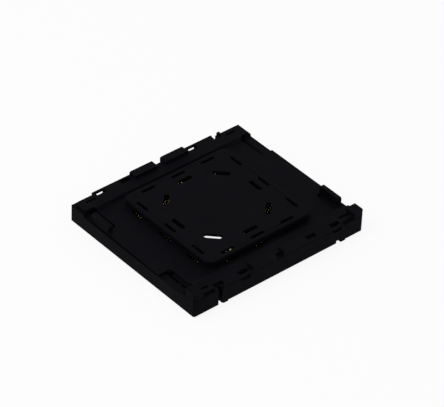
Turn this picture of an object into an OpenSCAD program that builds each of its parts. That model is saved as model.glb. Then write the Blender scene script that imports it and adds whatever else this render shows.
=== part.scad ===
// Large land grid array processor socket with its pick-and-place cap.
// Frame: origin at the centre of the footprint on the board, X along the long side,
// Y along the short side, Z up. All lengths are millimetres.

/* [Housing] */
// Length of the housing along X
body_l = 58.5; // [58:0.1:62]
// Width of the housing along Y
body_w = 51.0; // [50.5:0.1:54]
// Height of the wall tops above the board
wall_h = 5.3; // [5.1:0.05:5.8]
// Radius of the outer upright corners
corner_r = 0.6; // [0.3:0.1:1.2]
// Height of the housing's skirt above the board
skirt_lift = 0.3; // [0.1:0.05:0.4]
// Width of the skirt that stands round the ball field
skirt_w = 2.0; // [1.4:0.1:2.2]
// Height of the lowered wall between the corner posts on the short sides
low_wall_h = 4.4; // [4:0.05:4.8]
// Length of each full height corner post along Y
post_l = 5.0; // [4:0.1:6]

/* [Package seat] */
// Length of the package that the socket takes
pkg_l = 52.5; // [52.3:0.05:52.8]
// Width of the package that the socket takes
pkg_w = 45.0; // [44.9:0.05:45.3]
// Play between the package and each wall
pkg_play = 0.12; // [0.05:0.01:0.2]
// Height of the seating plane above the board
seat_h = 3.2; // [3:0.05:3.5]
// Depth of the contact pit below the seating plane
pit_d = 0.9; // [0.7:0.05:1]
// Width of the seating ledge at the short sides
ledge_x = 0.45; // [0.3:0.05:0.5]
// Width of the seating ledge at the long sides
ledge_y = 0.6; // [0.4:0.05:0.7]
// Radius of the relief in each corner of the seat
relief_r = 0.8; // [0.5:0.05:1]
// Radius of the key posts in the short walls
key_r = 0.75; // [0.5:0.05:0.9]
// Distance of the key posts from the middle along Y
key_y = 11.18; // [10.9:0.02:11.4]
// How far a key post stands into the seat
key_in = 0.7; // [0.4:0.05:0.8]

/* [Centre opening] */
// Length of the opening through the floor
open_l = 19.9; // [18:0.1:20.2]
// Width of the opening through the floor
open_w = 15.4; // [14:0.1:15.5]
// Radius of the opening's corners
open_r = 1.0; // [0.5:0.1:2]
// Thickness of the rim round the opening
rim_t = 0.35; // [0.25:0.05:0.4]

/* [Contacts] */
// Distance between neighbouring columns of contacts
col_pitch = 0.8814; // [0.87:0.0002:0.886]
// Distance between neighbouring contacts in one column
row_pitch = 1.016; // [1:0.001:1.02]
// Width of a contact leaf
leaf_w = 0.32; // [0.2:0.02:0.36]
// Thickness of the leaf, measured flat along X
leaf_t = 0.2; // [0.12:0.01:0.26]
// Reach of the leaf along X from root to tip
leaf_l = 1.24; // [1:0.02:1.3]
// How far a free contact tip stands above the seating plane
tip_proud = 0.4; // [0.2:0.05:0.45]
// Diameter of a solder ball
ball_d = 0.6; // [0.45:0.01:0.7]

/* [Cap] */
// Thickness of the cap's plate
plate_t = 0.7; // [0.6:0.05:1]
// How far the plate's edge stays inside the housing's outline
plate_inset = 0.8; // [0.6:0.05:1.2]
// Radius of the plate's corners
plate_r = 1.2; // [0.6:0.1:2]
// Height of the pick-up face above the board
pick_h = 7.3; // [7:0.05:7.8]
// Side of the square pick-up platform
pick_w = 36.0; // [35:0.1:38]
// Radius of the platform's corners
pick_r = 2.6; // [1.5:0.1:3.5]
// Wall and roof thickness of the platform
pick_t = 0.8; // [0.6:0.05:0.9]
// Radius of the soft edge round the pick-up face
pick_edge = 0.3; // [0.2:0.05:0.4]

/* [Cap slots] */
// Length of an outer slot
slot_l = 4.6; // [3.6:0.1:5.2]
// Width of an outer slot
slot_w = 0.9; // [0.6:0.05:1.1]
// Length of an inner slot
inner_slot_l = 4.8; // [4:0.1:5.2]
// Width of an inner slot
inner_slot_w = 1.3; // [0.9:0.05:1.5]
// Length of a diagonal slot
diag_slot_l = 5.0; // [4:0.1:5.6]
// Width of a diagonal slot
diag_slot_w = 1.6; // [1.1:0.05:1.8]
// Distance from the centre to the outer slots
slot_row = 16.2; // [15.9:0.05:16.3]
// Distance from the centre to the inner slots
inner_row = 13.4; // [13.2:0.05:13.8]
// Distance of the end slots from the middle on the long sides
slot_step_x = 10.3; // [9.8:0.1:11.2]
// Distance of the end slots from the middle on the short sides
slot_step_y = 11.4; // [10:0.1:11.6]
// Distance of the diagonal slots from the centre along X and Y
diag_at = 9.6; // [8.8:0.1:9.8]
// Height of the windows in the platform's side walls
window_h = 0.5; // [0.3:0.05:0.6]
// How far each window also opens the plate in front of it
window_lip = 0.3; // [0.2:0.05:0.5]

/* [Cap grips and latches] */
// Length of the raised rail in the middle of each long side
rail_l = 18.6; // [17:0.1:19]
// Depth of the raised rail along Y
rail_w = 2.6; // [2:0.1:3]
// Width of the notch in the middle of a rail
rail_gap = 2.6; // [2:0.1:4]
// Side of the raised corner blocks along X
corner_l = 3.2; // [2.6:0.1:4]
// Side of the raised corner blocks along Y
corner_w = 3.5; // [2.6:0.1:4]
// Distance of the latch tabs from the middle along X
latch_x = 15.9; // [15.4:0.1:16.2]
// Width of the latch tongue between its relief holes
tongue_w = 5.2; // [4.4:0.1:5.4]
// Length of a relief hole beside the tongue
relief_l = 3.1; // [2.4:0.1:3.2]
// Width of a relief hole
relief_w = 1.5; // [1.1:0.1:1.6]
// Width of the thin bar outside a relief hole
bar_w = 0.6; // [0.5:0.05:0.8]
// Thickness of a latch leg
leg_t = 0.8; // [0.6:0.05:0.9]
// Length of a latch leg below the plate
leg_d = 1.5; // [1.1:0.05:1.6]
// How far the grip nose stands out from the leg
nose = 0.15; // [0.1:0.01:0.2]
// Running gap between the cap's legs and ribs and the housing
run_gap = 0.1; // [0.06:0.01:0.15]
// Gap between the grip nose and the wall of its pocket
nose_gap = 0.04; // [0.02:0.01:0.06]
// Length of a finger cut-out along the short side
finger_l = 9.2; // [8.4:0.1:9.6]
// Depth of a finger cut-out
finger_d = 3.2; // [2.6:0.1:3.4]
// Distance of the finger cut-outs from the middle
finger_y = 15.7; // [15.4:0.1:15.9]
// Length of the thumb rib in one finger cut-out of each short side
thumb_l = 6.6; // [5.6:0.1:7]
// Width of the thumb rib
thumb_w = 1.3; // [1:0.05:1.5]
// Height of the thumb rib above the board
thumb_h = 6.9; // [6.6:0.05:7.1]
// Height of the locating ribs under the plate
rib_d = 1.0; // [0.7:0.05:1.2]
// Thickness of the locating ribs
rib_t = 0.8; // [0.6:0.05:1]
// Length of each locating rib along the long sides
rib_l = 5.0; // [4:0.1:6]
// Distance that the ribs on the short sides keep from their neighbours
rib_end = 0.3; // [0.2:0.05:0.4]

/* [Wall details] */
// Width of the upright slot in each long wall
wall_slot_w = 1.2; // [0.8:0.1:1.4]
// Distance of the upright slots from the middle
wall_slot_x = 20.3; // [20:0.1:20.6]
// Depth of the upright slot from the wall's outer face
wall_slot_d = 1.6; // [1.2:0.1:1.9]
// Width of the notches in the skirt's lower edge
skirt_notch_w = 1.3; // [1:0.1:1.6]
// Height of those notches above the board
skirt_notch_h = 1.1; // [0.8:0.1:1.4]
// Width of a stand-off foot
foot_w = 1.6; // [1.2:0.1:1.8]
// Depth of a stand-off foot along Y
foot_d = 1.6; // [1.2:0.1:1.8]
// Distance of the inner feet from the middle
foot_in_x = 18.4; // [18.1:0.1:18.6]
// Distance of the outer feet from the middle
foot_out_x = 22.4; // [22.2:0.1:23]
// Floor height of the see-through notches under the cap's bars
bar_notch_z = 4.2; // [4:0.05:4.6]
// Lead-in chamfer along the top inner edges of the walls
lead_in = 0.45; // [0.2:0.05:0.6]
// Chamfer along the top outer edges of the walls
edge_c = 0.2; // [0.1:0.05:0.3]
// Length of the slots near the plate's corners
corner_slot_l = 3.4; // [2.8:0.1:3.6]
// Width of the slots near the plate's corners
corner_slot_w = 0.6; // [0.4:0.05:0.8]

/* [Hidden] */
$fn = 48;
n_cols = 58;
n_rows = 43;
void_cols = 24;
void_rows = 16;
banks = 8;
e = 1;
seat_l = pkg_l + 2 * pkg_play;
seat_w = pkg_w + 2 * pkg_play;
pit_l = seat_l - 2 * ledge_x;
pit_w = seat_w - 2 * ledge_y;
floor_z = seat_h - pit_d;
tip_z = seat_h + tip_proud;
wall_x = (body_l - seat_l) / 2;
wall_y = (body_w - seat_w) / 2;
plate_l = body_l - 2 * plate_inset;
plate_w = body_w - 2 * plate_inset;
plate_top = wall_h + plate_t;
roof_z = pick_h - pick_t;
hollow_w = pick_w - 2 * pick_t;
tab_out = latch_x + tongue_w / 2 + relief_l + bar_w;
relief_x = latch_x + tongue_w / 2 + relief_l / 2;
relief_xi = latch_x - tongue_w / 2 - relief_l / 2;
relief_y = body_w / 2 - bar_w - relief_w / 2;
leg_y = body_w / 2 - wall_y / 2 + 0.05;
pocket_w = tongue_w + 4 * run_gap;
pocket_t = 2 * run_gap + leg_t + nose + nose_gap;
pocket_z = wall_h - leg_d - 4 * run_gap;

// Rectangle with round corners, drawn from its middle
module round_rect(l, w, r) {
  square([l, w - 2 * r], center = true);
  square([l - 2 * r, w], center = true);
  for (sx = [-1, 1], sy = [-1, 1])
    translate([sx * (l / 2 - r), sy * (w / 2 - r)]) circle(r);
}

// Profile in the X-Z plane drawn out to a length along Y, both about the middle
module along_y(len) {
  rotate([90, 0, 0]) translate([0, 0, -len / 2]) linear_extrude(len) children();
}

// Profile in the Y-Z plane drawn out to a length along X, both about the middle
module along_x(len) {
  rotate([90, 0, 90]) translate([0, 0, -len / 2]) linear_extrude(len) children();
}

// Outline of a block whose two top edges are chamfered
module chamfer_profile(w, z0, z1, c) {
  polygon([[-w / 2, z0], [w / 2, z0], [w / 2, z1 - c], [w / 2 - c, z1],
           [-w / 2 + c, z1], [-w / 2, z1 - c]]);
}

// Copies a shape to its place after half a turn of the part
module twice() {
  children();
  rotate([0, 0, 180]) children();
}

// Copies a shape to both ends of the long side
module both_ends() {
  children();
  mirror([1, 0, 0]) children();
}

// ---- housing ----

module housing_block() {
  intersection() {
    translate([0, 0, skirt_lift])
      linear_extrude(wall_h - skirt_lift) round_rect(body_l, body_w, corner_r);
    along_y(body_w + e) chamfer_profile(body_l, 0, wall_h, edge_c);
    along_x(body_l + e) chamfer_profile(body_w, 0, wall_h, edge_c);
  }
}

module feet() {
  twice() {
    for (x = [-foot_in_x, foot_out_x])
      translate([x - foot_w / 2, -body_w / 2, 0]) cube([foot_w, foot_d, skirt_lift + 0.3]);
  }
}

// Space that the package drops into, with round reliefs at its corners and lead-in edges
module seat_space() {
  translate([0, 0, seat_h]) linear_extrude(wall_h) {
    square([seat_l, seat_w], center = true);
    for (sx = [-1, 1], sy = [-1, 1])
      translate([sx * (seat_l / 2 - relief_r / 2), sy * (seat_w / 2 - relief_r / 2)])
        circle(relief_r);
  }
  along_x(seat_l) polygon([[-seat_w / 2, wall_h - lead_in], [seat_w / 2, wall_h - lead_in],
    [seat_w / 2 + lead_in + e, wall_h + e], [-seat_w / 2 - lead_in - e, wall_h + e]]);
  along_y(seat_w - 2 * relief_r) polygon([[-seat_l / 2, low_wall_h - lead_in],
    [seat_l / 2, low_wall_h - lead_in],
    [seat_l / 2 + lead_in + e, low_wall_h + e], [-seat_l / 2 - lead_in - e, low_wall_h + e]]);
}

// Pit that holds the contacts, leaving a rim round the centre opening
module contact_pit() {
  translate([0, 0, floor_z]) linear_extrude(wall_h) difference() {
    square([pit_l, pit_w], center = true);
    round_rect(open_l + 2 * rim_t, open_w + 2 * rim_t, open_r + rim_t);
    for (sx = [-1, 1], sy = [-1, 1])
      translate([sx * (seat_l / 2 - key_in + key_r), sy * key_y]) circle(key_r);
  }
}

module key_posts() {
  for (sx = [-1, 1], sy = [-1, 1])
    translate([sx * (seat_l / 2 - key_in + key_r), sy * key_y, floor_z])
      cylinder(r = key_r, h = low_wall_h - lead_in - floor_z);
}

// The walls of the short sides are lower between the corner posts
module low_wall_space() {
  span = body_w / 2 - post_l;
  along_x(body_l + e) polygon([[-span + 0.5, low_wall_h], [span - 0.5, low_wall_h],
    [span, wall_h + e], [-span, wall_h + e]]);
}

module latch_pockets() {
  twice() both_ends()
    translate([latch_x - pocket_w / 2, leg_y - leg_t / 2 - 2 * run_gap, pocket_z])
      cube([pocket_w, pocket_t, wall_h]);
}

// Upright slots, skirt notches and see-through notches of the long walls
module wall_cuts() {
  twice() {
    translate([-wall_slot_x - wall_slot_w / 2, -body_w / 2 - e, 0])
      cube([wall_slot_w, wall_slot_d + e, wall_h + e]);
    translate([wall_slot_x + 0.3 - skirt_notch_w / 2, -body_w / 2 - e, 0])
      cube([skirt_notch_w, 0.9 + e, skirt_notch_h]);
    for (x = [-relief_xi, relief_x])
      translate([x - relief_l / 2, -body_w / 2 - e, bar_notch_z])
        cube([relief_l, bar_w + relief_w + e, wall_h]);
  }
}

module housing() {
  color([0.09, 0.09, 0.1]) {
    difference() {
      union() {
        housing_block();
        feet();
      }
      translate([0, 0, -e]) linear_extrude(ball_d + e)
        round_rect(body_l - 2 * skirt_w, body_w - 2 * skirt_w, corner_r);
      seat_space();
      contact_pit();
      translate([0, 0, -e]) linear_extrude(wall_h + 2 * e) round_rect(open_l, open_w, open_r);
      low_wall_space();
      latch_pockets();
      wall_cuts();
    }
    key_posts();
  }
}

// ---- cap ----

module slot(l, w) {
  square([l - w, w], center = true);
  for (s = [-1, 1]) translate([s * (l - w) / 2, 0]) circle(w / 2);
}

function step_at(a) = a % 180 == 0 ? slot_step_x : slot_step_y;

// Pick-up face openings: three outer and one inner slot a side, and four diagonal ones
module pick_slots() {
  for (a = [0 : 90 : 270]) rotate(a) {
    for (k = [-1, 0, 1]) translate([k * step_at(a), slot_row]) slot(slot_l, slot_w);
    translate([0, inner_row]) slot(inner_slot_l, inner_slot_w);
    translate([diag_at, diag_at]) rotate(-45) slot(diag_slot_l, diag_slot_w);
  }
}

module pick_block() {
  intersection() {
    translate([0, 0, wall_h])
      linear_extrude(pick_h - wall_h) round_rect(pick_w, pick_w, pick_r);
    along_y(pick_w + e) chamfer_profile(pick_w, 0, pick_h, pick_edge);
    along_x(pick_w + e) chamfer_profile(pick_w, 0, pick_h, pick_edge);
  }
}

// Windows under the outer slots, cut through the platform's side and the plate's edge
module windows() {
  for (a = [0 : 90 : 270], k = [-1, 0, 1]) rotate(a)
    translate([k * step_at(a) - slot_l / 2, pick_w / 2 - pick_t - e, wall_h - e])
      cube([slot_l, pick_t + window_lip + e, plate_t + window_h + e]);
}

// Flat plate with its tabs over the long walls
module plate() {
  translate([0, 0, wall_h]) linear_extrude(plate_t) difference() {
    union() {
      round_rect(plate_l, plate_w, plate_r);
      square([2 * tab_out, body_w], center = true);
    }
    square([hollow_w, hollow_w], center = true);
    for (sx = [-1, 1], sy = [-1, 1]) {
      translate([sx * relief_x, sy * relief_y]) square([relief_l, relief_w], center = true);
      translate([sx * relief_xi, sy * relief_y]) square([relief_l, relief_w], center = true);
      translate([sx * (body_l / 2 - corner_l - corner_slot_l / 2), sy * (seat_w / 2 + 0.4)])
        square([corner_slot_l, corner_slot_w], center = true);
      translate([sx * (plate_l / 2 - finger_d / 2 + e / 2), sy * finger_y])
        round_rect(finger_d + e, finger_l, 0.8);
    }
    for (s = [-1, 1]) {
      translate([0, s * body_w / 2]) square([rail_gap, 3], center = true);
      translate([s * wall_slot_x, s * body_w / 2])
        square([wall_slot_w + 0.8, 2 * bar_w + 0.2], center = true);
    }
  }
}

module rails() {
  twice() for (s = [-1, 1])
    translate([s * (rail_l + rail_gap) / 4, -body_w / 2 + rail_w / 2, wall_h])
      intersection() {
        linear_extrude(pick_h - wall_h)
          square([(rail_l - rail_gap) / 2, rail_w], center = true);
        along_y(rail_w + e) chamfer_profile((rail_l - rail_gap) / 2, 0, pick_h - wall_h, 0.3);
      }
}

module corner_blocks() {
  both_ends() translate([-body_l / 2, -body_w / 2, wall_h])
    intersection() {
      cube([corner_l, corner_w, pick_h - wall_h]);
      translate([corner_r, corner_r, 0]) {
        cylinder(r = corner_r, h = pick_h);
        cube([corner_l, corner_w, pick_h]);
        translate([-corner_r, 0, 0]) cube([corner_l, corner_w, pick_h]);
        translate([0, -corner_r, 0]) cube([corner_l, corner_w, pick_h]);
      }
    }
}

// Spring rib that stands along the edge in one finger cut-out of each short side
module thumb_ribs() {
  root = 0.8;
  twice() translate([plate_l / 2 - thumb_w, -finger_y + finger_l / 2 - thumb_l, wall_h])
    intersection() {
      cube([thumb_w, thumb_l + root, thumb_h - wall_h]);
      translate([0, (thumb_l + root) / 2, 0])
        along_x(4 * thumb_w) chamfer_profile(thumb_l + root, 0, thumb_h - wall_h, 0.3);
    }
}

module latch_legs() {
  twice() both_ends() translate([latch_x, 0, 0]) {
    translate([-tongue_w / 2, leg_y - leg_t / 2, wall_h - leg_d])
      cube([tongue_w, leg_t, leg_d + plate_t / 2]);
    translate([-tongue_w / 4, leg_y + leg_t / 2 - 0.1, wall_h - leg_d + 0.2])
      rotate([90, 0, 90]) linear_extrude(tongue_w / 2)
        polygon([[0, 0], [0.1, -0.1], [0.1 + nose, 0.25], [0.1 + nose, 0.5], [0, 0.8]]);
  }
}

// Ribs that centre the cap in the seat
module locating_ribs() {
  x1 = seat_l / 2 - run_gap;
  y1 = seat_w / 2 - run_gap;
  side_y0 = finger_y + finger_l / 2 + rib_end;
  side_y1 = y1 - relief_r - rib_end;
  for (sx = [0, 1], sy = [0, 1]) mirror([sx, 0, 0]) mirror([0, sy, 0])
    translate([0, 0, wall_h - rib_d]) linear_extrude(rib_d + plate_t / 2) {
      translate([x1 - relief_r - rib_l, y1 - rib_t]) square([rib_l, rib_t]);
      translate([x1 - rib_t, side_y0]) square([rib_t, side_y1 - side_y0]);
    }
}

module pick_cap() {
  color([0.07, 0.07, 0.08]) difference() {
    union() {
      plate();
      pick_block();
      rails();
      corner_blocks();
      thumb_ribs();
      latch_legs();
      locating_ribs();
    }
    translate([0, 0, wall_h - e]) linear_extrude(roof_z - wall_h + e)
      round_rect(hollow_w, hollow_w, pick_r - pick_t / 2);
    windows();
    translate([0, 0, roof_z - e]) linear_extrude(pick_t + 2 * e) pick_slots();
  }
}

// ---- contacts and solder balls ----

function col_x(c) = (c - (n_cols - 1) / 2) * col_pitch;
function site_y(r, c) = (r - (n_rows - 1) / 2) * row_pitch + (c % 2 == 0 ? -1 : 1) * row_pitch / 4;
function in_void(r, c) = c >= (n_cols - void_cols) / 2 && c < (n_cols + void_cols) / 2
  && r >= (n_rows - void_rows) / 2 + (c % 2 == 0 ? 0.5 : -0.5)
  && r < (n_rows + void_rows) / 2 + (c % 2 == 0 ? 0.5 : -0.5);
function at_key(i, r) = (i == 0 && (abs(r - 10) <= 1 || abs(r - 32) <= 1))
  || (i == 1 && (r == 10 || r == 32));
function at_corner(i, j) = i + j < 5;
function at_first(c, r) = c + r == 5 && c < 3;
function at_edge(i, j) = j == 0 && i >= 14 && i <= 18;
function used(r, c) =
  let (i = min(c, n_cols - 1 - c), j = min(r, n_rows - 1 - r))
  !(in_void(r, c) || at_key(i, r) || at_corner(i, j) || at_first(c, r) || at_edge(i, j));
sites = [for (r = [0 : n_rows - 1], c = [0 : n_cols - 1]) if (used(r, c)) 1];
echo(contacts = len(sites));

// Rows of the field that bank b holds
function bank_rows(b) = [for (r = [0 : n_rows - 1]) if (floor(r * banks / n_rows) == b - 1) r];

// One leaf seen along Y, rising from its root on the pit floor to its tip
module leaf_profile(dir) {
  scale([dir, 1]) polygon([[-leaf_l / 2, 0], [-leaf_l / 2 + leaf_t, 0],
    [leaf_l / 2, tip_z - floor_z], [leaf_l / 2 - leaf_t, tip_z - floor_z]]);
}

// The leaves of one row that share one height along Y
module leaf_row(r, odd) {
  translate([0, site_y(r, odd) + leaf_w / 2, floor_z])
    rotate([90, 0, 0]) linear_extrude(leaf_w)
      for (c = [odd : 2 : n_cols - 1]) if (used(r, c))
        translate([col_x(c), 0]) leaf_profile(c < n_cols / 2 ? 1 : -1);
}

module contact_bank(b) {
  color([0.83, 0.66, 0.3]) for (r = bank_rows(b), odd = [0, 1]) leaf_row(r, odd);
}

module ball_bank(b) {
  color([0.72, 0.73, 0.74]) for (r = bank_rows(b), c = [0 : n_cols - 1]) if (used(r, c))
    translate([col_x(c), site_y(r, c), ball_d / 2]) sphere(d = ball_d);
}

housing();
pick_cap();
contact_bank(1);  // contacts_1
contact_bank(2);  // contacts_2
contact_bank(3);  // contacts_3
contact_bank(4);  // contacts_4
contact_bank(5);  // contacts_5
contact_bank(6);  // contacts_6
contact_bank(7);  // contacts_7
contact_bank(8);  // contacts_8
ball_bank(1);  // balls_1
ball_bank(2);  // balls_2
ball_bank(3);  // balls_3
ball_bank(4);  // balls_4
ball_bank(5);  // balls_5
ball_bank(6);  // balls_6
ball_bank(7);  // balls_7
ball_bank(8);  // balls_8
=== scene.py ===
"""Dresses a packed processor socket: moulded black plastics, gold spring contacts in their cell plate,
solder balls, and a pale studio to look at it in. All lengths are metres in the part's own frame."""

import math

import bmesh
import bpy
from bpy.props import FloatProperty, FloatVectorProperty, IntProperty, PointerProperty
from mathutils import Matrix, Vector


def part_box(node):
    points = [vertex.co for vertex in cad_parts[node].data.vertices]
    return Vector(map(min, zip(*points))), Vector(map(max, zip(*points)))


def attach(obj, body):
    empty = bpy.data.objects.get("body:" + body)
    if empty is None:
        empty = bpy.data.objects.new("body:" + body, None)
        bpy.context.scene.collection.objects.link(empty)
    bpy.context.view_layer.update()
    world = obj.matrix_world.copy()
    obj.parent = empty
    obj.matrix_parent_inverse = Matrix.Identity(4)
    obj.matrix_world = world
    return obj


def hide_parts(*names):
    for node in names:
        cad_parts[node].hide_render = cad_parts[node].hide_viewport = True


bl_info = {
    "name": "Processor Socket Finishes",
    "version": (1, 0, 0),
    "blender": (4, 5, 0),
    "location": "3D View > Sidebar > Socket",
    "description": "Plastics, gold contacts, solder balls and a studio for a processor socket with its cap",
    "category": "Object",
}

MM = 0.001
BANKS = 8
NEAR = 0.02 * MM
WELD = 0.001 * MM
# Looks that belong to the finishes and not to a size.
PLASTIC_SHEEN = 0.027
# How far, in edge radii, the painted edge highlight reaches.
EDGE_REACH = 2.5
FLOOR_GLOW = 0.88
PALE_GOLD = (0.86, 0.78, 0.6)
KEY_PLACE = (-0.35, 0.1, 0.55)
KEY_SIDE = 0.4
# Rings of a solder ball, in degrees above its equator, and the thickness of its pad.
BALL_RINGS = (-62, -34, -6, 22, 46)
PAD_THICKNESS = 0.03 * MM
# How far a cell reaches past its contact's middle, on the side that the contact leans to.
CELL_REACH = 0.02 * MM
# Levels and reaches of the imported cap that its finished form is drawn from.
UNDER_PLATE = 5.3 * MM
PLATE_TOP = 6.0 * MM
LINTEL = 6.5 * MM
PLATFORM_HALF = 18.0 * MM
CUT_OUT_END = 28.3 * MM
RAIL_INNER = 22.9 * MM
RAIL_END = 9.3 * MM

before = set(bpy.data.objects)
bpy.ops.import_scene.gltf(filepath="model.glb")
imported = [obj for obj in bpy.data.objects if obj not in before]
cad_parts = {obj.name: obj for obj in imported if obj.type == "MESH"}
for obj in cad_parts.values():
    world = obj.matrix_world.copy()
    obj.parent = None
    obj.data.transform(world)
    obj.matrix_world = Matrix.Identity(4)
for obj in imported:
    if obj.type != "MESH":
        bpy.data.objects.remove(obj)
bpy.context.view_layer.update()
CONTACT_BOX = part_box("contacts_1")
BALL_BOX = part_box("balls_1")


# ---- sizes and colours that a user would change ----


class PlasticFinish(bpy.types.PropertyGroup):
    """Colour, grain and edge softness of the two moulded parts"""

    housing_colour: FloatVectorProperty(
        name="Housing colour",
        description="Glass-filled plastic of the housing",
        subtype="COLOR",
        size=3,
        min=0,
        max=1,
        default=(0.0019, 0.0019, 0.0030),
    )
    cap_colour: FloatVectorProperty(
        name="Cap colour",
        description="Plastic of the pick-and-place cap",
        subtype="COLOR",
        size=3,
        min=0,
        max=1,
        default=(0.0020, 0.0021, 0.0034),
    )
    # Colour of the pale specks, and of the painted highlight along the edges.
    speck_and_highlight_colour: FloatVectorProperty(
        name="Edge colour",
        description="Colour that the plastic rubs to along its edges",
        subtype="COLOR",
        size=3,
        min=0,
        max=1,
        default=(0.0065, 0.0062, 0.0075),
    )
    grain: FloatProperty(
        name="Grain", description="Size of the surface grain", subtype="DISTANCE", unit="LENGTH", default=0.16 * MM
    )
    grain_depth: FloatProperty(
        name="Grain depth", description="Height of the grain", subtype="DISTANCE", unit="LENGTH", default=0.006 * MM
    )
    edge_radius: FloatProperty(
        name="Edge radius",
        description="Softening of the moulded edges",
        subtype="DISTANCE",
        unit="LENGTH",
        default=0.07 * MM,
    )


class CapForm(bpy.types.PropertyGroup):
    """How the finished cap's plate lies between the walls"""

    drop: FloatProperty(
        name="Drop", description="How far the plate lies below its tabs", subtype="DISTANCE", unit="LENGTH",
        default=0.85 * MM,
    )
    step_from: FloatProperty(
        name="Step from", description="Where the step up to the tabs begins along Y", subtype="DISTANCE",
        unit="LENGTH", default=19.3 * MM,
    )
    step_to: FloatProperty(
        name="Step to", description="Where that step ends", subtype="DISTANCE", unit="LENGTH", default=20.0 * MM
    )
    lip_reach: FloatProperty(
        name="Lip reach", description="Distance of the plate's lip from the middle along X", subtype="DISTANCE",
        unit="LENGTH", default=29.1 * MM,
    )
    lip_half: FloatProperty(
        name="Lip half width", description="Half the lip's width along Y", subtype="DISTANCE", unit="LENGTH",
        default=11.3 * MM,
    )
    lip_thickness: FloatProperty(
        name="Lip thickness", description="Thickness at the lip", subtype="DISTANCE", unit="LENGTH",
        default=0.32 * MM,
    )
    rail_drop: FloatProperty(
        name="Rail drop", description="How far the rails lie below the pick-up face", subtype="DISTANCE",
        unit="LENGTH", default=0.35 * MM,
    )


class ContactSizes(bpy.types.PropertyGroup):
    """Shape and finish of the stamped spring contacts"""

    gold: FloatVectorProperty(
        name="Gold", description="Colour of the plating", subtype="COLOR", size=3, min=0, max=1,
        default=(0.83, 0.62, 0.25),
    )
    strip: FloatProperty(
        name="Strip", description="Thickness of the stamped strip", subtype="DISTANCE", unit="LENGTH",
        default=0.09 * MM,
    )
    root_width: FloatProperty(
        name="Root width", description="Width at the root", subtype="DISTANCE", unit="LENGTH", default=0.36 * MM
    )
    neck_width: FloatProperty(
        name="Neck width", description="Width at the narrow neck", subtype="DISTANCE", unit="LENGTH", default=0.22 * MM
    )
    paddle_width: FloatProperty(
        name="Paddle width", description="Width at the touching end", subtype="DISTANCE", unit="LENGTH",
        default=0.32 * MM,
    )


class CellSizes(bpy.types.PropertyGroup):
    """The plate of cells that the contacts stand in"""

    plate: FloatProperty(
        name="Plate", description="Thickness of the cell plate", subtype="DISTANCE", unit="LENGTH", default=0.24 * MM
    )
    cell_length: FloatProperty(
        name="Cell length", description="Length of a cell along X", subtype="DISTANCE", unit="LENGTH", default=0.8 * MM
    )
    cell_width: FloatProperty(
        name="Cell width", description="Width of a cell along Y", subtype="DISTANCE", unit="LENGTH", default=0.8 * MM
    )
    wall: FloatProperty(
        name="Wall", description="Thickness of a cell's walls", subtype="DISTANCE", unit="LENGTH", default=0.15 * MM
    )


class ApronSizes(bpy.types.PropertyGroup):
    """Screens under the cap's plate, behind the finger cut-outs"""

    inner: FloatProperty(
        name="Inner face", description="Distance from the middle along X", subtype="DISTANCE", unit="LENGTH",
        default=24.6 * MM,
    )
    outer: FloatProperty(
        name="Outer face", description="Distance from the middle along X", subtype="DISTANCE", unit="LENGTH",
        default=25.22 * MM,
    )
    middle: FloatProperty(
        name="Middle", description="Distance from the middle along Y", subtype="DISTANCE", unit="LENGTH",
        default=16.3 * MM,
    )
    length: FloatProperty(
        name="Length", description="Length along Y", subtype="DISTANCE", unit="LENGTH", default=7.2 * MM
    )
    under: FloatProperty(
        name="Underside", description="Height of the plate's underside", subtype="DISTANCE", unit="LENGTH",
        default=4.6 * MM,
    )
    depth: FloatProperty(
        name="Depth", description="How far the screen hangs down", subtype="DISTANCE", unit="LENGTH", default=0.75 * MM
    )
    flare: FloatProperty(
        name="Flare", description="How far the lower edge stands out", subtype="DISTANCE", unit="LENGTH",
        default=0.6 * MM,
    )


class BallSizes(bpy.types.PropertyGroup):
    """Solder balls on their pads"""

    solder: FloatVectorProperty(
        name="Solder", description="Colour of the solder", subtype="COLOR", size=3, min=0, max=1,
        default=(0.62, 0.63, 0.65),
    )
    pad: FloatProperty(
        name="Pad", description="Radius of the pad", subtype="DISTANCE", unit="LENGTH", default=0.21 * MM
    )
    sides: IntProperty(name="Sides", description="Facets round a ball", default=10, min=6, max=24)


class StageSizes(bpy.types.PropertyGroup):
    """Floor, lights and camera"""

    floor: FloatProperty(name="Floor", description="Side of the floor", subtype="DISTANCE", unit="LENGTH", default=3.0)
    floor_colour: FloatVectorProperty(
        name="Floor colour", description="Paper white", subtype="COLOR", size=3, min=0, max=1,
        default=(0.93, 0.93, 0.93),
    )
    world_light: FloatProperty(name="World light", description="Level of the soft light all round", default=0.62)
    key_light: FloatProperty(
        name="Key light", description="Power of the large soft lamp", subtype="POWER", unit="POWER", default=1.6
    )
    azimuth: FloatProperty(
        name="Azimuth", description="Way the camera looks, from +Y towards +X", subtype="ANGLE", unit="ROTATION",
        default=math.radians(42.04),
    )
    elevation: FloatProperty(
        name="Elevation", description="Camera's angle above the board", subtype="ANGLE", unit="ROTATION",
        default=math.radians(38.24),
    )
    roll: FloatProperty(
        name="Roll", description="Camera's roll", subtype="ANGLE", unit="ROTATION", default=math.radians(2.66)
    )
    distance: FloatProperty(
        name="Distance", description="Camera to the part", subtype="DISTANCE", unit="LENGTH", default=0.8068
    )
    aim: FloatVectorProperty(
        name="Aim", description="How far the view is moved right and up", subtype="TRANSLATION", unit="LENGTH",
        size=2, default=(0.001504, 0.0059),
    )
    focal: FloatProperty(name="Focal length", description="Lens for a 36 mm sensor, in millimetres", default=245.9)


# ---- node helpers ----


def new_material(name):
    """An empty node material with its output and one shader."""
    mat = bpy.data.materials.new(name)
    mat.use_nodes = True
    tree = mat.node_tree
    tree.nodes.clear()
    out = tree.nodes.new("ShaderNodeOutputMaterial")
    shader = tree.nodes.new("ShaderNodeBsdfPrincipled")
    tree.links.new(shader.outputs["BSDF"], out.inputs["Surface"])
    return mat, tree, shader


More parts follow.
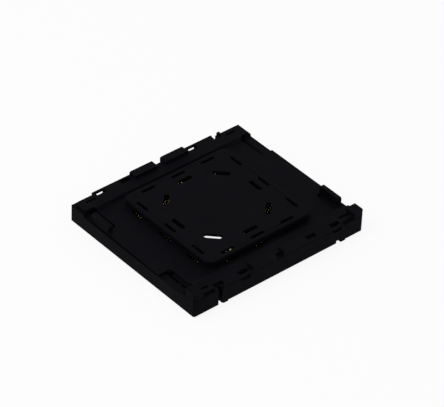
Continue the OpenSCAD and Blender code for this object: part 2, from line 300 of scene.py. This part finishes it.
def millimetre_points(tree, stretch=(1, 1, 1)):
    """The surface point in millimetres, drawn out by a stretch along each axis."""
    place = tree.nodes.new("ShaderNodeTexCoord")
    scale = tree.nodes.new("ShaderNodeMapping")
    scale.inputs["Scale"].default_value = [s / MM for s in stretch]
    tree.links.new(place.outputs["Object"], scale.inputs["Vector"])
    return scale.outputs["Vector"]


def noise(tree, points, size_mm, detail=2.0, roughness=0.5, distortion=0.0):
    """Noise whose features are about size_mm across."""
    node = tree.nodes.new("ShaderNodeTexNoise")
    node.inputs["Scale"].default_value = 1 / size_mm
    node.inputs["Detail"].default_value = detail
    node.inputs["Roughness"].default_value = roughness
    node.inputs["Distortion"].default_value = distortion
    tree.links.new(points, node.inputs["Vector"])
    return node.outputs["Fac"]


def remap(tree, value, low, high, to_low, to_high):
    """A value spread from one range to another, kept within it."""
    node = tree.nodes.new("ShaderNodeMapRange")
    for name, number in (("From Min", low), ("From Max", high), ("To Min", to_low), ("To Max", to_high)):
        node.inputs[name].default_value = number
    tree.links.new(value, node.inputs["Value"])
    return node.outputs["Result"]


def combine(tree, how, first, second):
    """Two values put together by one operation of arithmetic."""
    node = tree.nodes.new("ShaderNodeMath")
    node.operation = how
    for slot, value in zip(node.inputs, (first, second)):
        if isinstance(value, (int, float)):
            slot.default_value = value
        else:
            tree.links.new(value, slot)
    return node.outputs["Value"]


def blend_colours(tree, factor, first, second):
    """A colour between two, by a factor."""
    node = tree.nodes.new("ShaderNodeMix")
    node.data_type = "RGBA"
    tree.links.new(factor, node.inputs["Factor"])
    for slot, colour in (("A", first), ("B", second)):
        sockets = [s for s in node.inputs if s.name == slot and s.type == "RGBA"]
        if isinstance(colour, bpy.types.NodeSocket):
            tree.links.new(colour, sockets[0])
        else:
            sockets[0].default_value = (*colour, 1)
    return next(s for s in node.outputs if s.type == "RGBA")


def bump(tree, shader, height, distance):
    """Raises the shader's surface by a height map."""
    node = tree.nodes.new("ShaderNodeBump")
    node.inputs["Strength"].default_value = 1
    node.inputs["Distance"].default_value = distance
    tree.links.new(height, node.inputs["Height"])
    tree.links.new(node.outputs["Normal"], shader.inputs["Normal"])


def edge_mask(tree, radius):
    """How near the surface is to a sharp edge, from 0 to 1."""
    soft = tree.nodes.new("ShaderNodeBevel")
    soft.samples = 4
    soft.inputs["Radius"].default_value = radius
    geometry = tree.nodes.new("ShaderNodeNewGeometry")
    turn = tree.nodes.new("ShaderNodeVectorMath")
    turn.operation = "DOT_PRODUCT"
    tree.links.new(soft.outputs["Normal"], turn.inputs[0])
    tree.links.new(geometry.outputs["True Normal"], turn.inputs[1])
    return remap(tree, turn.outputs["Value"], 0.99, 0.85, 0, 1)


def shade(colour, factor):
    """A colour made lighter or darker by a factor."""
    return tuple(min(1.0, c * factor) for c in colour)


# ---- materials ----


def moulded_plastic(name, colour, speck_and_highlight_colour, finish, flow):
    """Matte moulded plastic: fine grain, long flow streaks, cloudy tone, pale specks, and a painted highlight that
    makes the edges a little paler.
    """
    mat, tree, shader = new_material(name)
    points = millimetre_points(tree)
    streaks = noise(tree, millimetre_points(tree, flow), 2.6, detail=3, distortion=0.6)
    clouds = noise(tree, points, 7.0, detail=2)
    grain = noise(tree, points, finish.grain / MM, detail=3, roughness=0.6)
    speck = noise(tree, points, finish.grain / MM * 2.7, detail=1)
    tone = combine(tree, "ADD", combine(tree, "MULTIPLY", streaks, 0.5), combine(tree, "MULTIPLY", clouds, 0.5))
    mottle = remap(tree, tone, 0.35, 0.65, 0, 1)
    body = blend_colours(tree, mottle, shade(colour, 0.82), shade(colour, 1.16))
    body = blend_colours(tree, remap(tree, speck, 0.62, 0.75, 0, 0.35), body, speck_and_highlight_colour)
    # Painted highlight: the plastic is made paler near its edges, broken up by the grain.
    edges = edge_mask(tree, finish.edge_radius * EDGE_REACH)
    edge_highlight = combine(tree, "MULTIPLY", edges, remap(tree, grain, 0.3, 0.7, 0.3, 1))
    tree.links.new(blend_colours(tree, edge_highlight, body, speck_and_highlight_colour), shader.inputs["Base Color"])
    satin = remap(tree, streaks, 0.3, 0.7, -0.05, 0.05)
    dull = combine(tree, "ADD", satin, remap(tree, grain, 0.3, 0.7, 0.6, 0.74))
    tree.links.new(dull, shader.inputs["Roughness"])
    shader.inputs["Specular IOR Level"].default_value = PLASTIC_SHEEN
    bump(tree, shader, combine(tree, "ADD", grain, combine(tree, "MULTIPLY", streaks, 0.5)), finish.grain_depth)
    return mat


def gold_plate(colour):
    """Stamped strip with gold over nickel: drawn lines, paler in spots near the paddle's top, darker towards the root.
    """
    mat, tree, shader = new_material("gold_plate")
    points = millimetre_points(tree)
    lines = noise(tree, millimetre_points(tree, (1, 9, 1)), 0.5, detail=2)
    spots = noise(tree, points, 0.35, detail=2)
    split = tree.nodes.new("ShaderNodeSeparateXYZ")
    tree.links.new(points, split.inputs["Vector"])
    height = remap(tree, split.outputs["Z"], CONTACT_BOX[0].z / MM, CONTACT_BOX[1].z / MM, 0, 1)
    darker_towards_root = blend_colours(tree, height, shade(colour, 0.72), colour)
    pale_top_spots = combine(tree, "MULTIPLY", remap(tree, height, 0.8, 1, 0, 0.4), remap(tree, spots, 0.4, 0.6, 0.2, 1))
    tree.links.new(blend_colours(tree, pale_top_spots, darker_towards_root, PALE_GOLD), shader.inputs["Base Color"])
    tree.links.new(remap(tree, lines, 0.3, 0.7, 0.07, 0.15), shader.inputs["Roughness"])
    shader.inputs["Metallic"].default_value = 1
    bump(tree, shader, lines, 0.002 * MM)
    return mat


def reflowed_solder(colour):
    """Tin silver solder: frosty, with fine dimples and duller patches."""
    mat, tree, shader = new_material("reflowed_solder")
    points = millimetre_points(tree)
    dimples = noise(tree, points, 0.09, detail=2)
    patches = noise(tree, points, 0.4, detail=2)
    tree.links.new(
        blend_colours(tree, remap(tree, patches, 0.35, 0.65, 0, 1), shade(colour, 0.85), shade(colour, 1.08)),
        shader.inputs["Base Color"],
    )
    tree.links.new(remap(tree, patches, 0.3, 0.7, 0.28, 0.5), shader.inputs["Roughness"])
    shader.inputs["Metallic"].default_value = 1
    bump(tree, shader, dimples, 0.004 * MM)
    return mat


def paper_floor(colour):
    """White paper that shows as background, holds the part's soft shadow, and is clear from below."""
    mat, tree, shader = new_material("paper_floor")
    points = millimetre_points(tree)
    fibre = noise(tree, points, 3.0, detail=2)
    tree.links.new(
        blend_colours(tree, fibre, shade(colour, 0.995), shade(colour, 1.005)), shader.inputs["Base Color"]
    )
    shader.inputs["Roughness"].default_value = 0.9
    shader.inputs["Specular IOR Level"].default_value = 0.1
    glow = tree.nodes.new("ShaderNodeEmission")
    glow.inputs["Strength"].default_value = 1
    rays = tree.nodes.new("ShaderNodeLightPath")
    seen = combine(tree, "MAXIMUM", rays.outputs["Is Camera Ray"], rays.outputs["Is Glossy Ray"])
    seen = combine(tree, "MAXIMUM", seen, rays.outputs["Is Transmission Ray"])
    mix = tree.nodes.new("ShaderNodeMixShader")
    tree.links.new(combine(tree, "MULTIPLY", seen, FLOOR_GLOW), mix.inputs["Fac"])
    tree.links.new(shader.outputs["BSDF"], mix.inputs[1])
    tree.links.new(glow.outputs["Emission"], mix.inputs[2])
    back = tree.nodes.new("ShaderNodeNewGeometry")
    clear = tree.nodes.new("ShaderNodeBsdfTransparent")
    sided = tree.nodes.new("ShaderNodeMixShader")
    tree.links.new(back.outputs["Backfacing"], sided.inputs["Fac"])
    tree.links.new(mix.outputs["Shader"], sided.inputs[1])
    tree.links.new(clear.outputs["BSDF"], sided.inputs[2])
    out = next(n for n in tree.nodes if n.type == "OUTPUT_MATERIAL")
    tree.links.new(sided.outputs["Shader"], out.inputs["Surface"])
    return mat


# ---- mesh helpers ----


def mesh_piece(name, points, faces, mat, smooth=False):
    """A mesh object of the given points and faces, in the scene."""
    mesh = bpy.data.meshes.new(name)
    mesh.from_pydata([tuple(p) for p in points], [], faces)
    mesh.validate()
    mesh.materials.append(mat)
    if smooth:
        mesh.polygons.foreach_set("use_smooth", [True] * len(mesh.polygons))
    piece = bpy.data.objects.new(name, mesh)
    bpy.context.scene.collection.objects.link(piece)
    return piece


def face_outward(mesh):
    """Turns every face of a closed mesh to look out."""
    bm = bmesh.new()
    bm.from_mesh(mesh)
    bmesh.ops.recalc_face_normals(bm, faces=bm.faces)
    bm.to_mesh(mesh)
    bm.free()


def finish_cad(node, mat):
    """Gives a CAD node its material."""
    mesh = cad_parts[node].data
    mesh.materials.clear()
    mesh.materials.append(mat)


def soften_edges(piece, radius):
    """Rounds a piece's sharp edges a little, by modifiers."""
    weld = piece.modifiers.new("weld", "WELD")
    weld.merge_threshold = 0.0005 * MM
    bevel = piece.modifiers.new("edges", "BEVEL")
    bevel.width = radius
    bevel.segments = 2
    bevel.limit_method = "ANGLE"
    bevel.angle_limit = math.radians(40)
    bevel.use_clamp_overlap = False
    bevel.harden_normals = False


def formed_cap(form):
    """A copy of the cap: plate let down between the walls, short edges drawn to a lip, rails lowered."""
    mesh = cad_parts["pick_cap"].data.copy()
    mesh.name = "cap_moulding"
    bm = bmesh.new()
    bm.from_mesh(mesh)
    bmesh.ops.remove_doubles(bm, verts=bm.verts, dist=WELD)
    for sign in (-1, 1):
        for y in (form.step_from, form.step_to):
            bmesh.ops.bisect_plane(
                bm, geom=[*bm.verts, *bm.edges, *bm.faces], dist=WELD,
                plane_co=(0, sign * y, 0), plane_no=(0, 1, 0),
            )
    for v in bm.verts:
        x, y, z = abs(v.co.x), abs(v.co.y), v.co.z
        side_face = max(x, y) > PLATFORM_HALF - NEAR
        if y < form.step_from + NEAR:
            in_plate = UNDER_PLATE - NEAR < z < PLATE_TOP + NEAR
            if in_plate or (z < LINTEL + NEAR and side_face and z > PLATE_TOP):
                v.co.z -= form.drop
                if x > CUT_OUT_END and y < form.lip_half:
                    v.co.x = math.copysign(form.lip_reach, v.co.x)
                    if z < UNDER_PLATE + NEAR:
                        v.co.z = PLATE_TOP - form.drop - form.lip_thickness
        elif y > RAIL_INNER - NEAR and x < RAIL_END + NEAR and z > PLATE_TOP + NEAR:
            v.co.z -= form.rail_drop
    bmesh.ops.recalc_face_normals(bm, faces=bm.faces)
    bm.to_mesh(mesh)
    bm.free()
    mesh.shade_flat()
    piece = bpy.data.objects.new("cap_moulding", mesh)
    bpy.context.scene.collection.objects.link(piece)
    return piece


def contact_sites(bank):
    """Each contact of a bank as (x, y, way its tip leans), read from the CAD leaves."""
    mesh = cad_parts[f"contacts_{bank}"].data
    bm = bmesh.new()
    bm.from_mesh(mesh)
    bmesh.ops.remove_doubles(bm, verts=bm.verts, dist=WELD)
    sites, seen = [], set()
    for start in bm.verts:
        if start in seen:
            continue
        leaf, edge = [], [start]
        seen.add(start)
        while edge:
            v = edge.pop()
            leaf.append(v.co.copy())
            for e in v.link_edges:
                w = e.other_vert(v)
                if w not in seen:
                    seen.add(w)
                    edge.append(w)
        xs, ys = [p.x for p in leaf], [p.y for p in leaf]
        middle = (min(xs) + max(xs)) / 2
        top = max(leaf, key=lambda p: (round(p.z / MM, 3), abs(p.x - middle)))
        sites.append((middle, (min(ys) + max(ys)) / 2, 1 if top.x > middle else -1))
    bm.free()
    if not sites:
        raise RuntimeError(f"bank {bank} holds no contacts")
    return sorted((round(x, 7), round(y, 7), way) for x, y, way in sites)


def copies(shape, faces, sites, height):
    """One shape copied to each site, turned to the way that the contact leans."""
    points, all_faces = [], []
    for x, y, way in sites:
        start = len(points)
        points.extend((x + way * px, y + py, height + pz) for px, py, pz in shape)
        for face in faces:
            moved = [start + i for i in face]
            all_faces.append(moved if way > 0 else moved[::-1])
    return points, all_faces


def spring_leaf(sizes):
    """One contact at the origin, leaning to +X: upright root, bent arm and rolled paddle, as a strip of rings."""
    rise = (CONTACT_BOX[1].z - CONTACT_BOX[0].z) / MM
    line = [
        (-0.55, 0.0, 1.0),
        (-0.53, 0.14, 1.0),
        (-0.44, 0.3, 0.9),
        (-0.22, 0.56, 0.35),
        (0.08, 0.88, 0.0),
        (0.3, rise - 0.2, 0.35),
        (0.42, rise - 0.09, 1.0),
        (0.51, rise - 0.05, 1.0),
        (0.59, rise - 0.08, 0.75),
    ]
    points, faces = [], []
    for i, (x, z, share) in enumerate(line):
        before, after = line[max(0, i - 1)], line[min(len(line) - 1, i + 1)]
        run = Vector((after[0] - before[0], after[1] - before[1])).normalized()
        wide = sizes.root_width if i < 3 else sizes.paddle_width
        half = (sizes.neck_width + (wide - sizes.neck_width) * share) / 2
        side = Vector((-run.y, run.x)) * sizes.strip / MM / 2
        for sign_y, sign_s in ((-1, -1), (1, -1), (1, 1), (-1, 1)):
            points.append(((x + sign_s * side.x) * MM, sign_y * half, max(0.0, z + sign_s * side.y) * MM))
    for i in range(len(line) - 1):
        a = 4 * i
        for k in range(4):
            n = (k + 1) % 4
            faces.append([a + k, a + n, a + 4 + n, a + 4 + k])
    last = 4 * (len(line) - 1)
    faces.append([3, 2, 1, 0])
    faces.append([last, last + 1, last + 2, last + 3])
    return points, faces


def cell_ring(sizes):
    """One cell round a contact's root, for a contact that leans to +X, as a closed frame."""
    x1 = CELL_REACH
    x0, y1 = x1 - sizes.cell_length, sizes.cell_width / 2
    outer = [(x0, -y1), (x1, -y1), (x1, y1), (x0, y1)]
    t = sizes.wall
    inner = [(x0 + t, t - y1), (x1 - t, t - y1), (x1 - t, y1 - t), (x0 + t, y1 - t)]
    points = [(x, y, z) for ring in (outer, inner) for z in (0, sizes.plate) for x, y in ring]
    faces = []
    for k in range(4):
        n = (k + 1) % 4
        faces.append([k, n, 4 + n, 4 + k])
        faces.append([8 + n, 8 + k, 12 + k, 12 + n])
        faces.append([4 + k, 4 + n, 12 + n, 12 + k])
        faces.append([k, 8 + k, 8 + n, n])
    return points, faces


def solder_ball(sizes):
    """One ball from the board up to its pad, as rings round Z."""
    radius = (BALL_BOX[1].z - BALL_BOX[0].z) / 2
    rings = []
    for degrees in BALL_RINGS:
        a = math.radians(degrees)
        rings.append((radius * math.cos(a), radius * (1 + math.sin(a))))
    rings.append((sizes.pad, 2 * radius - PAD_THICKNESS))
    rings.append((sizes.pad, 2 * radius))
    points, faces, n = [(0, 0, 0)], [], sizes.sides
    for r, z in rings:
        points.extend((r * math.cos(math.tau * k / n), r * math.sin(math.tau * k / n), z) for k in range(n))
    for k in range(n):
        faces.append([0, 1 + (k + 1) % n, 1 + k])
    for ring in range(len(rings) - 1):
        a, b = 1 + ring * n, 1 + (ring + 1) * n
        for k in range(n):
            m = (k + 1) % n
            faces.append([a + k, a + m, b + m, b + k])
    top = 1 + (len(rings) - 1) * n
    faces.append([top + k for k in range(n)])
    return points, faces


def box_shape(x0, x1, y0, y1, z0, z1, taper):
    """A box whose second end is drawn in by a taper, as points and faces."""
    points = [(x, y, z0) for x, y in ((x0, y0), (x1, y0), (x1, y1), (x0, y1))]
    points += [
        (x, y, z1)
        for x, y in (
            (x0 + taper, y0 + taper),
            (x1 - taper, y0 + taper),
            (x1 - taper, y1 - taper),
            (x0 + taper, y1 - taper),
        )
    ]
    faces = [[3, 2, 1, 0], [4, 5, 6, 7], [0, 1, 5, 4], [1, 2, 6, 5], [2, 3, 7, 6], [3, 0, 4, 7]]
    return points, faces


# ---- operators, one for each piece or group of like pieces ----


class SOCKET_OT_plastics(bpy.types.Operator):
    """Finish the housing and the pick-and-place cap in matte moulded plastic"""

    bl_idname = "socket.plastics"
    bl_label = "Finish plastics"

    def execute(self, context):
        finish = context.scene.socket_plastic
        housing = moulded_plastic(
            "black_housing_plastic", finish.housing_colour, finish.speck_and_highlight_colour, finish, flow=(1, 0.25, 0.6)
        )
        cap = moulded_plastic("black_cap_plastic", finish.cap_colour, finish.speck_and_highlight_colour, finish, flow=(0.5, 0.5, 1))
        finish_cad("housing", housing)
        finish_cad("pick_cap", cap)
        moulding = formed_cap(context.scene.socket_cap)
        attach(moulding, "cap")
        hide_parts("pick_cap")
        for piece in (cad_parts["housing"], moulding):
            soften_edges(piece, finish.edge_radius)
        return {"FINISHED"}


class SOCKET_OT_contacts(bpy.types.Operator):
    """Stand a stamped, gold-plated spring contact on every site"""

    bl_idname = "socket.contacts"
    bl_label = "Add contacts"

    def execute(self, context):
        sizes = context.scene.socket_contacts
        gold = gold_plate(sizes.gold)
        shape, faces = spring_leaf(sizes)
        for bank in range(1, BANKS + 1):
            points, all_faces = copies(shape, faces, contact_sites(bank), CONTACT_BOX[0].z)
            piece = mesh_piece(f"spring_contacts_{bank}", points, all_faces, gold)
            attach(piece, "socket")
            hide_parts(f"contacts_{bank}")
        return {"FINISHED"}


class SOCKET_OT_cells(bpy.types.Operator):
    """Stand a moulded cell round the root of every contact"""

    bl_idname = "socket.cells"
    bl_label = "Add contact cells"

    def execute(self, context):
        sizes = context.scene.socket_cells
        finish = context.scene.socket_plastic
        # The cells are the housing's plastic made darker, as painted shade under the cap.
        dark = shade(finish.housing_colour, 0.7)
        plastic = moulded_plastic("cell_plastic", dark, finish.speck_and_highlight_colour, finish, flow=(1, 1, 1))
        shape, faces = cell_ring(sizes)
        sites = [site for bank in range(1, BANKS + 1) for site in contact_sites(bank)]
        points, all_faces = copies(shape, faces, sites, CONTACT_BOX[0].z)
        piece = mesh_piece("contact_cells", points, all_faces, plastic)
        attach(piece, "socket")
        return {"FINISHED"}


class SOCKET_OT_aprons(bpy.types.Operator):
    """Hang a screen from the cap behind each finger cut-out, so that no finger reaches the contacts"""

    bl_idname = "socket.aprons"
    bl_label = "Add cap aprons"

    def execute(self, context):
        sizes = context.scene.socket_aprons
        under, half = sizes.under, sizes.length / 2
        points, faces = [], []
        for sx in (-1, 1):
            for sy in (-1, 1):
                shape, shape_faces = box_shape(
                    *sorted((sx * sizes.inner, sx * sizes.outer)),
                    *sorted((sy * (sizes.middle - half), sy * (sizes.middle + half))),
                    under, under - sizes.depth, -sizes.flare,
                )
                start = len(points)
                points += shape
                faces += [[start + i for i in face[::-1]] for face in shape_faces]
        piece = mesh_piece("cap_aprons", points, faces, bpy.data.materials["black_cap_plastic"])
        face_outward(piece.data)
        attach(piece, "cap")
        return {"FINISHED"}


class SOCKET_OT_balls(bpy.types.Operator):
    """Put a solder ball under every contact"""

    bl_idname = "socket.balls"
    bl_label = "Add solder balls"

    def execute(self, context):
        sizes = context.scene.socket_balls
        solder = reflowed_solder(sizes.solder)
        shape, faces = solder_ball(sizes)
        for bank in range(1, BANKS + 1):
            sites = [(x, y, 1) for x, y, _ in contact_sites(bank)]
            points, all_faces = copies(shape, faces, sites, BALL_BOX[0].z)
            piece = mesh_piece(f"solder_balls_{bank}", points, all_faces, solder, smooth=True)
            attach(piece, "socket")
            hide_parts(f"balls_{bank}")
        return {"FINISHED"}


class SOCKET_OT_stage(bpy.types.Operator):
    """Set the paper floor, the soft lights and the camera"""

    bl_idname = "socket.stage"
    bl_label = "Set stage"

    def execute(self, context):
        sizes = context.scene.socket_stage
        half = sizes.floor / 2
        floor = mesh_piece(
            "floor",
            [(-half, -half, 0), (half, -half, 0), (half, half, 0), (-half, half, 0)],
            [[0, 1, 2, 3]],
            paper_floor(sizes.floor_colour),
        )
        set_world(sizes)
        add_lamp("key", KEY_PLACE, KEY_SIDE, sizes.key_light)
        set_camera(sizes)
        return {"FINISHED"}


def set_world(sizes):
    """Even white light all round, and a white background."""
    world = bpy.data.worlds.new("studio")
    bpy.context.scene.world = world
    world.use_nodes = True
    tree = world.node_tree
    tree.nodes.clear()
    out = tree.nodes.new("ShaderNodeOutputWorld")
    back = tree.nodes.new("ShaderNodeBackground")
    back.inputs["Color"].default_value = (1, 1, 1, 1)
    rays = tree.nodes.new("ShaderNodeLightPath")
    seen = combine(tree, "MAXIMUM", rays.outputs["Is Camera Ray"], rays.outputs["Is Glossy Ray"])
    seen = combine(tree, "MAXIMUM", seen, rays.outputs["Is Transmission Ray"])
    tree.links.new(remap(tree, seen, 0, 1, sizes.world_light, 1), back.inputs["Strength"])
    tree.links.new(back.outputs["Background"], out.inputs["Surface"])


def add_lamp(name, place, side, power):
    """A square soft lamp that looks at the part."""
    light = bpy.data.lights.new(name, "AREA")
    light.shape = "SQUARE"
    light.size = side
    light.energy = power
    lamp = bpy.data.objects.new(name, light)
    lamp.location = place
    lamp.rotation_euler = (-Vector(place)).to_track_quat("-Z", "Y").to_euler()
    bpy.context.scene.collection.objects.link(lamp)


def set_camera(sizes):
    """The camera that frames the part from its front left."""
    az, el, roll = sizes.azimuth, sizes.elevation, sizes.roll
    ahead = Vector((math.sin(az) * math.cos(el), math.cos(az) * math.cos(el), -math.sin(el)))
    level = Vector((math.cos(az), -math.sin(az), 0))
    above = level.cross(ahead)
    right = math.cos(roll) * level + math.sin(roll) * above
    up = math.cos(roll) * above - math.sin(roll) * level
    data = bpy.data.cameras.new("camera")
    data.sensor_width = 36
    data.lens = sizes.focal
    data.clip_start, data.clip_end = 0.01, 20
    camera = bpy.data.objects.new("camera", data)
    spin = Matrix((right, up, -ahead)).transposed().to_4x4()
    place = -sizes.distance * ahead + sizes.aim[0] * right + sizes.aim[1] * up
    camera.matrix_world = Matrix.Translation(place) @ spin
    bpy.context.scene.collection.objects.link(camera)
    bpy.context.scene.camera = camera


class SOCKET_PT_finishes(bpy.types.Panel):
    """Lists the finishing steps"""

    bl_idname = "SOCKET_PT_finishes"
    bl_label = "Processor socket"
    bl_space_type = "VIEW_3D"
    bl_region_type = "UI"
    bl_category = "Socket"

    def draw(self, context):
        for step in STEPS:
            self.layout.operator(step.bl_idname)
        for group in GROUPS:
            settings = getattr(context.scene, group)
            for name in settings.bl_rna.properties.keys():
                if name not in ("rna_type", "name"):
                    self.layout.prop(settings, name)


GROUPS = {
    "socket_plastic": PlasticFinish,
    "socket_cap": CapForm,
    "socket_contacts": ContactSizes,
    "socket_cells": CellSizes,
    "socket_aprons": ApronSizes,
    "socket_balls": BallSizes,
    "socket_stage": StageSizes,
}
STEPS = (
    SOCKET_OT_plastics,
    SOCKET_OT_contacts,
    SOCKET_OT_cells,
    SOCKET_OT_aprons,
    SOCKET_OT_balls,
    SOCKET_OT_stage,
)


def register():
    for group in GROUPS.values():
        bpy.utils.register_class(group)
    for name, group in GROUPS.items():
        setattr(bpy.types.Scene, name, PointerProperty(type=group))
    for step in (*STEPS, SOCKET_PT_finishes):
        bpy.utils.register_class(step)


def unregister():
    for step in (SOCKET_PT_finishes, *reversed(STEPS)):
        bpy.utils.unregister_class(step)
    for name in GROUPS:
        delattr(bpy.types.Scene, name)
    for group in reversed(list(GROUPS.values())):
        bpy.utils.unregister_class(group)


def main():
    register()
    bpy.context.scene.view_settings.view_transform = "Standard"
    bpy.ops.socket.plastics()
    bpy.ops.socket.contacts()
    bpy.ops.socket.cells()
    bpy.ops.socket.aprons()
    bpy.ops.socket.balls()
    bpy.ops.socket.stage()


if __name__ == "__main__":
    main()
